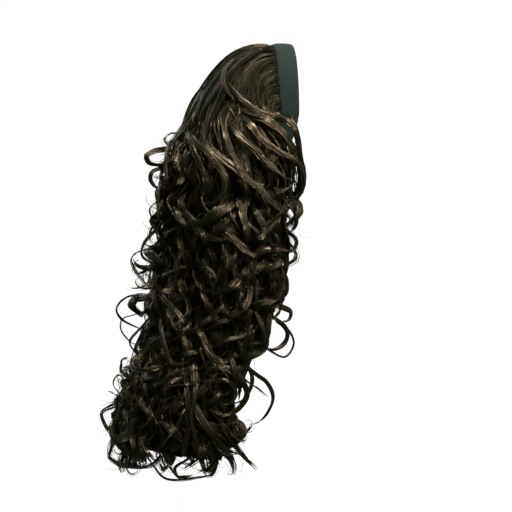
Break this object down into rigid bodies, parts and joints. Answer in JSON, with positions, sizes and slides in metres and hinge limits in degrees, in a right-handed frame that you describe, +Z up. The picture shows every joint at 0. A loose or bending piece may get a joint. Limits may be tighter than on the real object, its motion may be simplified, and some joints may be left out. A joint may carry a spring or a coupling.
{
  "type": "hair extension",
  "caption": "Half wig on a padded fabric headband: combed crown hair over a sewn base cap, and long spiral curls down the back and sides.",
  "frame": {"origin": "where the inner face of the band's middle rests on top of the wearer's head", "axes": "+X to the wearer's front, +Y to the wearer's left, +Z up"},
  "size_m": [0.2373, 0.2582, 0.5576],
  "materials": {
    "band_fabric": "matte knit",
    "cap_net": "sewn net and wefts",
    "hair_fibre": "glossy synthetic hair"
  },
  "bodies": {
    "root": {"headband": "band_fabric", "wig_cap": "cap_net", "crown_hair": "hair_fibre", "right_fall": "hair_fibre", "back_fall": "hair_fibre", "left_fall": "hair_fibre"}
  },
  "joints": []
}
